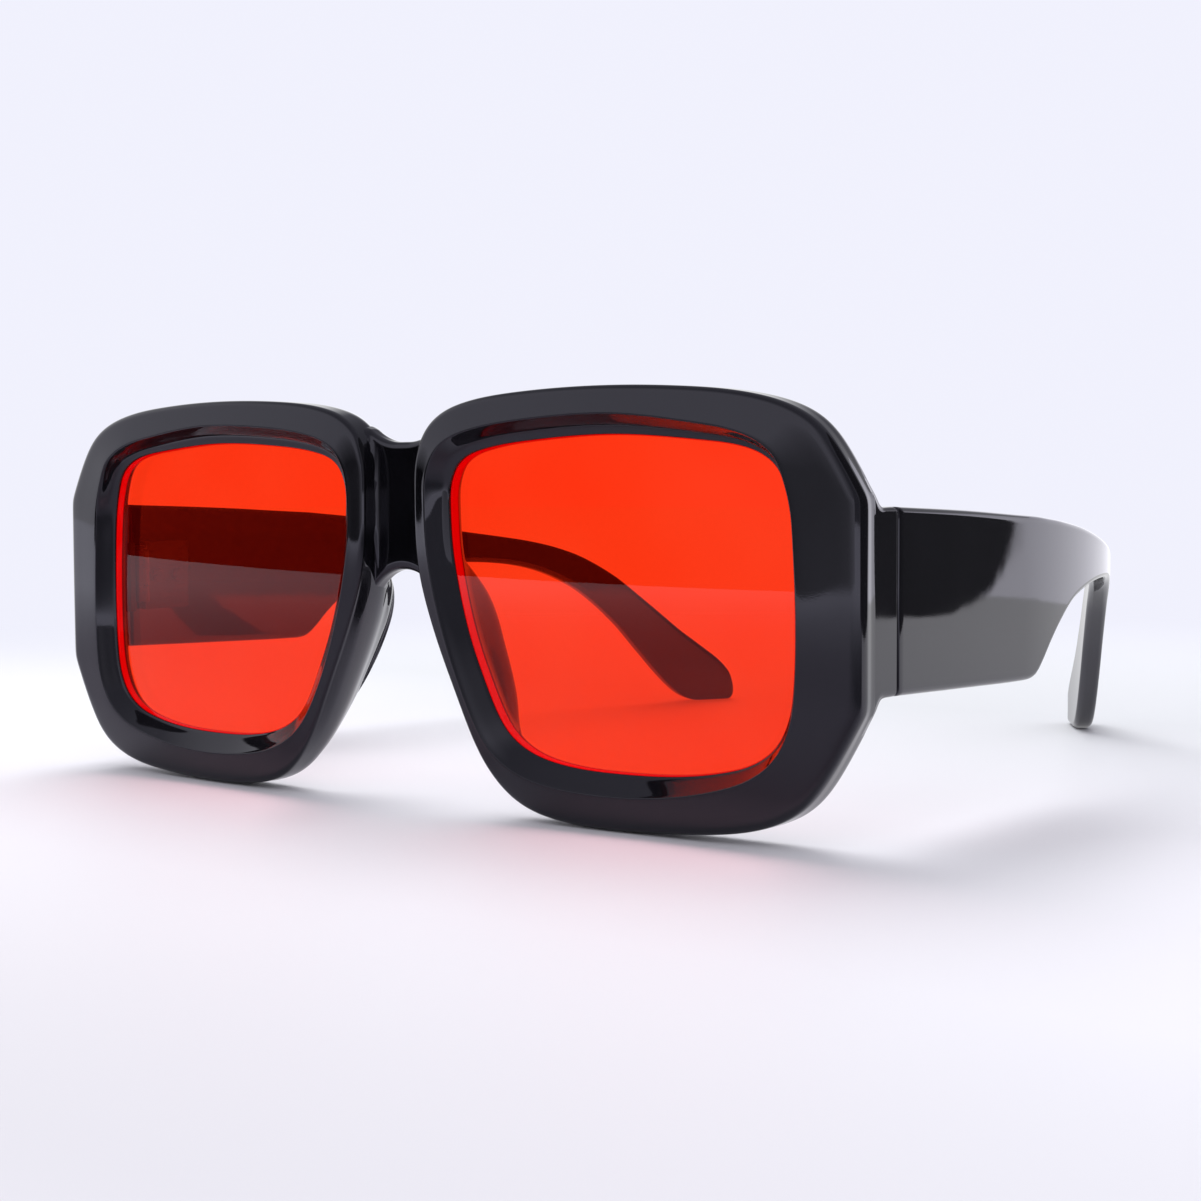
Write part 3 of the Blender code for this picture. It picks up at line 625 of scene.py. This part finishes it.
def rounded_loop(half_width, half_height, corner):
    """Points once round a rounded rectangle about its middle, closest beside its corners."""
    corner = min(corner, half_width, half_height)
    run = []
    for sign_x, sign_y, start in ((1, 1, 0), (-1, 1, 90), (-1, -1, 180), (1, -1, 270)):
        centre = Vector((sign_x * (half_width - corner), sign_y * (half_height - corner)))
        turns = [start + 90 * step / CORNER_STEPS for step in range(CORNER_STEPS + 1)]
        angles = [math.radians(turn) for turn in turns]
        arc = [centre + Vector((math.cos(a), math.sin(a))) * corner for a in angles]
        if run:
            run += [run[-1].lerp(arc[0], share) for share in SIDE_SHARES]
        run += arc
    return run + [run[-1].lerp(run[0], share) for share in SIDE_SHARES]


def nose_wall_x(z):
    """Distance from the middle of the rim's nose side at this height."""
    side = OUTER[NOSE_WALL_FIRST_KNOT * OUTLINE_STEPS:] + OUTER[:NOSE_WALL_LAST_KNOT * OUTLINE_STEPS]
    x = wall_x(zip(side, side[1:]), z)
    if x is None:
        return side[0].x if z < side[0].y else side[-1].x
    return x


def bridge_fillet(x, z):
    """How far the bridge swells where it runs into the rim."""
    gap = max(nose_wall_x(z) - abs(x), 0.0)
    if gap >= BRIDGE_FILLET:
        return 0.0
    return BRIDGE_FILLET - math.sqrt(BRIDGE_FILLET**2 - (BRIDGE_FILLET - gap)**2)


def build_bridge(name, material):
    """Arched bridge between the rims, flared up toward them and set back behind their faces."""
    bm = bmesh.new()
    half_length = NOSE_X + BRIDGE_OVERLAP
    columns = BRIDGE_COLUMNS
    depth = BRIDGE_BACK - BRIDGE_SETBACK
    loop_size = len(rounded_loop(depth, depth, BRIDGE_CORNER))

    def place(column, row):
        along = max(min((column - 1) / (columns - 2), 1.0), 0.0)
        x = half_length * (2 * along - 1)
        arch_share = abs(x) / BRIDGE_ARCH_HALF_WIDTH
        low = BRIDGE_ARCH_TOP - BRIDGE_ARCH_HEIGHT * (1 - math.sqrt(1 - arch_share**2))
        reach = max(abs(x) - BRIDGE_FLARE_START, 0.0) / (BRIDGE_FLARE_END - BRIDGE_FLARE_START)
        top = BRIDGE_TOP + BRIDGE_FLARE * min(reach, 1.0)**2
        top += BRIDGE_FLARE_SLOPE * max(abs(x) - BRIDGE_FLARE_END, 0.0)
        middle = (top + low) / 2
        front, back = FRONT_Y + BRIDGE_SETBACK, FRONT_Y + BRIDGE_BACK
        if column in (0, columns):
            return Vector((x, (front + back) / 2, middle))
        loop = rounded_loop(depth / 2, (top - low) / 2, BRIDGE_CORNER)
        across, up = loop[row % loop_size]
        z = middle + up
        swell = bridge_fillet(x, z)
        y = (front + back) / 2 + across * (1 + 2 * swell / depth)
        return Vector((x, y, z))

    cover(bm, columns, loop_size, place)
    return finish_piece(name, bm, material)


def build_lens(name, side, material):
    """Slightly bowed lens from its middle out, round its edge and back, with its cut edge marked."""
    bm = bmesh.new()
    cut = bm.verts.layers.float.new("cut_edge")
    face = [step / LENS_FACE_STEPS for step in range(LENS_FACE_STEPS)] + LENS_LAST_SHARES
    run = [(share, 0) for share in face]
    run += [(1.0, angle) for angle in LENS_EDGE_ANGLES]
    run += [(share, 180) for share in reversed(face)]
    middle = Vector(((LENS_SPACING + LENS_WIDTH) / 2, LOW_BAND + LENS_HEIGHT / 2))

    def place(column, row):
        i = column % COLUMNS
        share, degrees = run[row]
        angle = math.radians(degrees)
        edge = OPENING[i] + (OUTER[i] - OPENING[i]).normalized() * LENS_SEAT
        share *= 1 - LENS_EDGE_ROUND / (edge - middle).length * (1 - math.sin(angle))
        x, z = middle.lerp(edge, share)
        bow = (Vector((x, z)) - middle).length_squared - LENS_REACH**2
        y = edge_y(x) + LIP_DROP + LENS_RECESS + bow / (2 * LENS_RADIUS)
        return Vector((side * x, y + LENS_THICKNESS * (1 - math.cos(angle)) / 2, z))

    # The cut_edge mark sets where the lens material paints light on its edge
    for vert, (column, row) in cover(bm, COLUMNS, len(run) - 1, place).items():
        vert[cut] = 1.0 if run[row][0] >= LENS_LAST_SHARES[-1] else 0.0
    return finish_piece(name, bm, material)


def temple_point(along, depth_in, z, side):
    """Place at this length along a temple's outer face and this far in from it."""
    bend = min(max(along - TEMPLE_STRAIGHT, 0.0) / TEMPLE_BEND_RADIUS, BEND_ANGLE)
    past = max(along - TEMPLE_STRAIGHT - TEMPLE_BEND_LENGTH, 0.0)
    turn = bend + past / TEMPLE_TIP_RADIUS
    x = TEMPLE_OUTER_X - TEMPLE_BEND_RADIUS * (1 - math.cos(bend))
    x -= TEMPLE_TIP_RADIUS * (math.cos(bend) - math.cos(turn))
    y = TEMPLE_Y + min(along, TEMPLE_STRAIGHT) + TEMPLE_BEND_RADIUS * math.sin(bend)
    y += TEMPLE_TIP_RADIUS * (math.sin(turn) - math.sin(bend))
    x -= depth_in * math.cos(turn)
    return Vector((side * x, y - depth_in * math.sin(turn), z))


def temple_stations():
    """Lengths along the temple and how far its section draws in there; None closes an end."""
    toe = ARM_THICKNESS / 2
    stations = [(0.0, None), (0.0, ENDPIECE_EDGE), (ENDPIECE_EDGE * 0.3, ENDPIECE_EDGE * 0.3)]
    for step in range(TEMPLE_STEPS + 1):
        along = ENDPIECE_EDGE + (TEMPLE_LENGTH - toe - ENDPIECE_EDGE) * step / TEMPLE_STEPS
        stations.append((along, 0.0))
    for step in range(1, TOE_STEPS + 1):
        angle = math.radians(90 * step / TOE_STEPS)
        stations.append((TEMPLE_LENGTH - toe + toe * math.sin(angle), toe * (1 - math.cos(angle))))
    return stations + [(TEMPLE_LENGTH, None)]


def temple_thickness(along):
    """The temple's thickness at this length: it tapers between the hinge end and the arm."""
    share = along / TEMPLE_LENGTH
    taper = eased(max(min((share - TAPER_START) / (TAPER_END - TAPER_START), 1.0), 0.0))
    return TEMPLE_THICKNESS + (ARM_THICKNESS - TEMPLE_THICKNESS) * taper


def build_temple(name, side, material):
    """One temple from the hinge to the tip, bent in plan and rounded at its edges and toe."""
    bm = bmesh.new()
    length, height = TEMPLE_LENGTH, TEMPLE_TOP
    top_edge = fine_profile([(share * length, top * height) for share, top, _ in TEMPLE_PROFILE])
    low_edge = fine_profile([(share * length, low * height) for share, _, low in TEMPLE_PROFILE])
    stations = temple_stations()
    loop_size = len(rounded_loop(1, 1, 0.5))

    def place(column, row):
        along, inset = stations[column]
        top = read_profile(top_edge, along)
        low = max(read_profile(low_edge, along), 0.0)
        thickness = temple_thickness(along)
        if inset is None:
            return temple_point(along, thickness / 2, (top + low) / 2, side)
        half_width = max(thickness / 2 - inset, TOE_HALF_THICKNESS)
        half_height = (top - low) / 2 - inset
        across, up = rounded_loop(half_width, half_height, TEMPLE_CORNER)[row % loop_size]
        return temple_point(along, thickness / 2 - across, (top + low) / 2 + up, side)

    cover(bm, len(stations) - 1, loop_size, place)
    return finish_piece(name, bm, material)


class Nodes:
    """Short way to write down a material's nodes and links."""

    # Places of the factor, the two colours and the mixed colour among a mix node's sockets
    MIX_INPUTS = (0, 6, 7)
    MIX_OUTPUT = 2

    def __init__(self, name):
        self.material = bpy.data.materials.new(name)
        self.material.use_nodes = True
        self.tree = self.material.node_tree
        self.shader = self.tree.nodes["Principled BSDF"]
        self.output = self.tree.nodes["Material Output"]

    def add(self, kind, inputs=None, **settings):
        """New node with these settings, and inputs given as values or as sockets to link."""
        node = self.tree.nodes.new(kind)
        for key, value in settings.items():
            setattr(node, key, value)
        for key, value in (inputs or {}).items():
            self.fill(node.inputs[key], value)
        return node

    def fill(self, socket, value):
        if isinstance(value, bpy.types.NodeSocket):
            self.tree.links.new(value, socket)
        else:
            socket.default_value = value

    def noise(self, scale, detail=3.0):
        place = self.add("ShaderNodeTexCoord").outputs["Object"]
        node = self.add("ShaderNodeTexNoise", {"Vector": place, "Scale": scale, "Detail": detail})
        return node.outputs["Fac"]

    def spread(self, value, low=0, high=1, start=NOISE_LOW, end=NOISE_HIGH):
        """Map a value between start and end to one between low and high, a noise's by default."""
        node = self.add("ShaderNodeMapRange", {
            "Value": value, "From Min": start, "From Max": end, "To Min": low, "To Max": high})
        return node.outputs["Result"]

    def fade(self, value, start, end):
        """Gentle change from 0 to 1 as a value goes from start to end."""
        node = self.add(
            "ShaderNodeMapRange", {"Value": value, "From Min": start, "From Max": end},
            interpolation_type="SMOOTHSTEP")
        return node.outputs["Result"]

    def calculate(self, operation, *values):
        node = self.add("ShaderNodeMath", dict(enumerate(values)), operation=operation)
        return node.outputs["Value"]

    def blend(self, fac, first, second):
        """Mix two colours, given as they are or by a socket."""
        node = self.add("ShaderNodeMix", data_type="RGBA")
        for place, value in zip(self.MIX_INPUTS, (fac, first, second)):
            self.fill(node.inputs[place], value)
        return node.outputs[self.MIX_OUTPUT]

    def set(self, **inputs):
        for key, value in inputs.items():
            self.fill(self.shader.inputs[key.replace("_", " ")], value)


class WorldNodes(Nodes):
    """The same for the world's background."""

    def __init__(self, world):
        self.tree = world.node_tree
        self.shader = self.tree.nodes["Background"]


def polished_plastic():
    """Black injection-moulded plastic, polished, with faint flow waves and handling haze."""
    nodes = Nodes("polished_black_plastic")
    haze = nodes.noise(HAZE_SCALE, detail=4)
    tone = nodes.blend(nodes.spread(haze), *PLASTIC_TONES)
    waves = nodes.noise(WAVE_SCALE, detail=1)
    grain = nodes.noise(GRAIN_SCALE, detail=2)
    bump = nodes.add(
        "ShaderNodeBump", {"Height": waves, "Strength": WAVE_STRENGTH, "Distance": WAVE_DEPTH})
    fine = nodes.add("ShaderNodeBump", {
        "Height": grain, "Strength": GRAIN_STRENGTH, "Distance": GRAIN_DEPTH,
        "Normal": bump.outputs["Normal"]})
    nodes.set(Base_Color=tone, Roughness=nodes.spread(haze, *PLASTIC_ROUGHNESS), IOR=PLASTIC_IOR)
    nodes.set(Specular_Tint=PLASTIC_MIRROR_TINT)
    nodes.set(Normal=fine.outputs["Normal"])
    return nodes.material


def tinted_lens():
    """Clear red lens with a faint painted glow and painted light along its cut edge, throwing a red
    cast on the table.
    """
    nodes = Nodes("red_tinted_lens")
    cloud = nodes.spread(nodes.noise(CLOUD_SCALE, detail=2))
    smear = nodes.spread(nodes.noise(SMEAR_SCALE), 0.0, LENS_SMEAR)
    nodes.set(Base_Color=nodes.blend(cloud, *LENS_TINTS), Roughness=smear, IOR=LENS_IOR)
    nodes.set(Transmission_Weight=1.0)
    # Painted glow: the whole lens gives off a faint red light
    nodes.set(Emission_Color=LENS_PAINTED_GLOW, Emission_Strength=LENS_PAINTED_GLOW_STRENGTH)
    # Painted light along the cut edge: an opaque red shader that gives off light where the cut_edge
    # mark is set
    cut = nodes.add("ShaderNodeAttribute", attribute_name="cut_edge").outputs["Fac"]
    edge = nodes.add("ShaderNodeBsdfPrincipled", {
        "Base Color": nodes.blend(cloud, *CUT_EDGE_TINTS), "Roughness": CUT_EDGE_ROUGHNESS,
        "Specular IOR Level": 0.0, "Emission Color": CUT_EDGE_PAINTED_LIGHT,
        "Emission Strength": CUT_EDGE_PAINTED_LIGHT_STRENGTH})
    body = nodes.add("ShaderNodeMixShader", {
        "Fac": cut, 1: nodes.shader.outputs["BSDF"], 2: edge.outputs["BSDF"]})
    clear = nodes.add("ShaderNodeBsdfTransparent", {"Color": RED_CAST})
    ray = nodes.add("ShaderNodeLightPath").outputs
    cast = nodes.calculate("MAXIMUM", ray["Is Shadow Ray"], ray["Is Diffuse Ray"])
    mix = nodes.add("ShaderNodeMixShader", {
        "Fac": cast, 1: body.outputs["Shader"], 2: clear.outputs["BSDF"]})
    nodes.tree.links.new(mix.outputs["Shader"], nodes.output.inputs["Surface"])
    return nodes.material


def hinge_steel():
    """Blackened spring steel with fine lengthwise brushing."""
    nodes = Nodes("brushed_hinge_steel")
    place = nodes.add("ShaderNodeTexCoord").outputs["Object"]
    stretch = nodes.add("ShaderNodeMapping", {"Vector": place, "Scale": BRUSH_SCALE})
    brush = nodes.add("ShaderNodeTexNoise", {
        "Vector": stretch.outputs["Vector"], "Scale": 1.0, "Detail": 3.0}).outputs["Fac"]
    bump = nodes.add(
        "ShaderNodeBump", {"Height": brush, "Strength": BRUSH_STRENGTH, "Distance": BRUSH_DEPTH})
    nodes.set(Base_Color=nodes.blend(brush, *STEEL_TONES), Metallic=1.0)
    nodes.set(Roughness=nodes.spread(brush, *STEEL_ROUGHNESS), Normal=bump.outputs["Normal"])
    return nodes.material


def dress_frame():
    """Build the fine pieces over the frame's plain ones and darken the hinges."""
    plastic, lens, steel = polished_plastic(), tinted_lens(), hinge_steel()
    pieces = []
    for label, side in (("left", 1), ("right", -1)):
        rim = build_rim(f"rim_{label}", side, plastic)
        glass = build_lens(f"tinted_lens_{label}", side, lens)
        temple = build_temple(f"arm_{label}", side, plastic)
        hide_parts("front_frame")
        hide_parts(f"lens_{label}")
        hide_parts(f"temple_{label}")
        pieces += [(rim, "front", "frame_plastic"), (glass, "front", "lens_tint")]
        pieces.append((temple, f"temple_{label}", "frame_plastic"))
    bridge = build_bridge("bridge", plastic)
    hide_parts("front_frame")
    pieces.append((bridge, "front", "frame_plastic"))
    for piece, body, slot in pieces:
        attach(piece, body)
    for name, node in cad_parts.items():
        if name.startswith(("hinge", "front_leaf", "temple_leaf")):
            for material_slot in node.material_slots:
                material_slot.material = steel


def staged(piece, shadow=True, seen=True):
    """Set which rays see a stage piece; an unseen one shows in reflections only."""
    piece.visible_camera = seen
    piece.visible_transmission = seen
    piece.visible_diffuse = seen
    piece.visible_shadow = shadow


def floor_tone(nodes, spot, mirrored):
    """The table's colour: mottled, with painted shade near the camera and behind the glasses, and
    painted darker reflections where the front mirrors it.
    """
    tone = nodes.blend(nodes.spread(nodes.noise(MOTTLE_SCALE)), FLOOR_COLOUR, FLOOR_COLOUR_WARM)
    # Painted shade: the table darker behind the glasses and near the camera
    tone = nodes.blend(nodes.spread(spot["Y"], 0, 1, *BEHIND_RANGE), tone, FLOOR_PAINTED_SHADE_BEHIND)
    tone = nodes.blend(nodes.spread(spot["Y"], 1, 0, *NEAR_RANGE), tone, FLOOR_PAINTED_SHADE_NEAR)
    # Painted shade in reflections: mirrors see the table in front darker, and darker still to the side
    aside = nodes.spread(spot["X"], 0, 1, *ASIDE_RANGE)
    dim = nodes.blend(aside, FLOOR_PAINTED_SHADE_MIRRORED, FLOOR_PAINTED_SHADE_MIRRORED_ASIDE)
    return nodes.blend(mirrored, tone, dim)


def add_floor():
    """Pale table that fades into the backdrop's colour behind the glasses."""
    bm = bmesh.new()
    bmesh.ops.create_grid(bm, x_segments=2, y_segments=2, size=FLOOR_HALF_SIZE)
    nodes = Nodes("pale_table")
    place = nodes.add("ShaderNodeTexCoord").outputs["Object"]
    spot = nodes.add("ShaderNodeSeparateXYZ", {"Vector": place}).outputs
    glossy = nodes.add("ShaderNodeLightPath").outputs["Is Glossy Ray"]
    behind = nodes.spread(spot["Y"], 0, 1, *FRONT_RANGE)
    before = nodes.spread(spot["Y"], 1, 0, *FRONT_RANGE)
    tone = floor_tone(nodes, spot, nodes.calculate("MULTIPLY", glossy, before))
    nodes.set(Base_Color=tone, Roughness=FLOOR_ROUGHNESS, Specular_IOR_Level=FLOOR_SHINE)
    distance = nodes.add("ShaderNodeVectorMath", {0: place}, operation="LENGTH").outputs["Value"]
    nearer = nodes.calculate("MULTIPLY_ADD", behind, MIRRORED_HAZE_SHIFT, distance)
    away = nodes.blend(
        glossy, nodes.fade(distance, FADE_START, FADE_END),
        nodes.fade(nearer, MIRRORED_FADE_START, MIRRORED_FADE_END))
    haze_colour = nodes.blend(nodes.calculate("MULTIPLY", glossy, behind), BACKDROP, MIRRORED_BACK)
    haze = nodes.add("ShaderNodeEmission", {"Color": haze_colour, "Strength": 1.0})
    mix = nodes.add("ShaderNodeMixShader", {
        "Fac": away, 1: nodes.shader.outputs["BSDF"], 2: haze.outputs["Emission"]})
    nodes.tree.links.new(mix.outputs["Shader"], nodes.output.inputs["Surface"])
    floor = finish_piece("floor", bm, nodes.material)
    floor.location.z = -FLOOR_GAP
    staged(floor)


def add_world():
    """Even studio light; rays that mirror it see a darker ceiling and a dimmer front."""
    world = bpy.data.worlds.new("studio")
    world.use_nodes = True
    bpy.context.scene.world = world
    nodes = WorldNodes(world)
    ray = nodes.add("ShaderNodeLightPath").outputs
    place = nodes.add("ShaderNodeTexCoord").outputs["Generated"]
    way = nodes.add("ShaderNodeSeparateXYZ", {"Vector": place}).outputs
    aside = nodes.spread(way["X"], 0, 1, *CAMERA_SIDE_RANGE)
    front = nodes.blend(aside, MIRRORED_FRONT, MIRRORED_CAMERA)
    level = nodes.blend(nodes.spread(way["Y"], 0, 1, *FRONT_TO_BACK_RANGE), front, MIRRORED_BACK)
    overhead = nodes.calculate("MULTIPLY_ADD", way["Y"], CEILING_SLANT, way["Z"])
    level = nodes.blend(nodes.spread(overhead, 0, 1, *CEILING_RANGE), level, MIRRORED_CEILING)
    colour = nodes.blend(ray["Is Glossy Ray"], WORLD_LIGHT, level)
    colour = nodes.blend(ray["Is Transmission Ray"], colour, BACKDROP_THROUGH)
    colour = nodes.blend(ray["Is Camera Ray"], colour, BACKDROP)
    nodes.tree.links.new(colour, nodes.shader.inputs["Color"])


def add_flag(name, foot, heading, width, height, glow, corner=None, fade=None):
    """Upright dark board that only reflections see; it can fade at its far end and top."""
    bm = bmesh.new()
    bmesh.ops.create_grid(bm, x_segments=1, y_segments=1, size=0.5)
    bmesh.ops.scale(bm, vec=(width, height, 1), verts=bm.verts[:])
    bmesh.ops.translate(bm, vec=(width / 2, height / 2, 0), verts=bm.verts[:])
    if corner:
        first = min(bm.verts, key=lambda vert: vert.co.length)
        bmesh.ops.bevel(
            bm, geom=[first], offset=corner, offset_type="OFFSET", segments=FLAG_CORNER_STEPS,
            profile=0.5, affect="VERTICES", material=-1)
    upright = Matrix.Rotation(math.radians(90), 4, "X")
    turn = Matrix.Rotation(math.radians(heading), 4, "Z") @ upright
    bmesh.ops.transform(bm, matrix=Matrix.Translation(Vector(foot)) @ turn, verts=bm.verts[:])
    nodes = Nodes(name)
    dim, bright = (glow * 0.9, glow * 0.9, glow, 1), (glow, glow, glow * 1.1, 1)
    dark = nodes.blend(nodes.noise(FLAG_MOTTLE_SCALE), dim, bright)
    if fade:
        place = nodes.add("ShaderNodeTexCoord").outputs["Object"]
        spot = nodes.add("ShaderNodeSeparateXYZ", {"Vector": place}).outputs
        end = foot[0] + width * math.cos(math.radians(heading))
        dark = nodes.blend(nodes.spread(spot["X"], 0, 1, end - fade, end), dark, MIRRORED_FRONT)
        dark = nodes.blend(nodes.spread(spot["Z"], 0, 1, height * 0.5, height), dark, MIRRORED_FRONT)
    nodes.set(Base_Color=(0, 0, 0, 1), Specular_IOR_Level=0.0)
    nodes.set(Emission_Color=dark, Emission_Strength=1.0)
    staged(finish_piece(name, bm, nodes.material), shadow=False, seen=False)


def add_softbox(name, place, target, width, height, power, colour, mirrored):
    """Soft light that the camera never sees, and that reflections see only when mirrored."""
    light = bpy.data.lights.new(name, "AREA")
    light.shape = "RECTANGLE"
    light.size, light.size_y = width, height
    light.energy = power
    light.color = colour
    box = bpy.data.objects.new(name, light)
    box.location = place
    box.visible_camera = False
    box.visible_transmission = False
    box.visible_glossy = mirrored
    box.rotation_euler = (Vector(target) - Vector(place)).to_track_quat("-Z", "Y").to_euler()
    bpy.context.scene.collection.objects.link(box)


def add_camera():
    """The photo's camera, from its fitted place, turn and lens."""
    yaw, pitch, roll = CAMERA_YAW, CAMERA_PITCH, CAMERA_ROLL
    level = Vector((-math.sin(yaw), math.cos(yaw), 0))
    ahead = level * math.cos(pitch) - Vector((0, 0, math.sin(pitch)))
    right = Vector((math.cos(yaw), math.sin(yaw), 0))
    up = right.cross(ahead)
    side = right * math.cos(roll) + up * math.sin(roll)
    top = up * math.cos(roll) - right * math.sin(roll)
    camera = bpy.data.cameras.new("camera")
    camera.lens = CAMERA_LENS
    camera.sensor_width = CAMERA_SENSOR
    camera.clip_start = CAMERA_CLIP
    view = bpy.data.objects.new("camera", camera)
    turn = Matrix((side, top, -ahead)).transposed().to_4x4()
    view.matrix_world = Matrix.Translation(CAMERA_PLACE) @ turn
    bpy.context.scene.collection.objects.link(view)
    bpy.context.scene.camera = view


dress_frame()
add_floor()
add_world()
add_flag("flag_beside", **FLAG_BESIDE)
add_flag("flag_before", **FLAG_BEFORE)
add_softbox("overhead", **SOFTBOX_OVERHEAD)
add_softbox("behind", **SOFTBOX_BEHIND)
add_camera()
bpy.context.scene.view_settings.view_transform = "Standard"
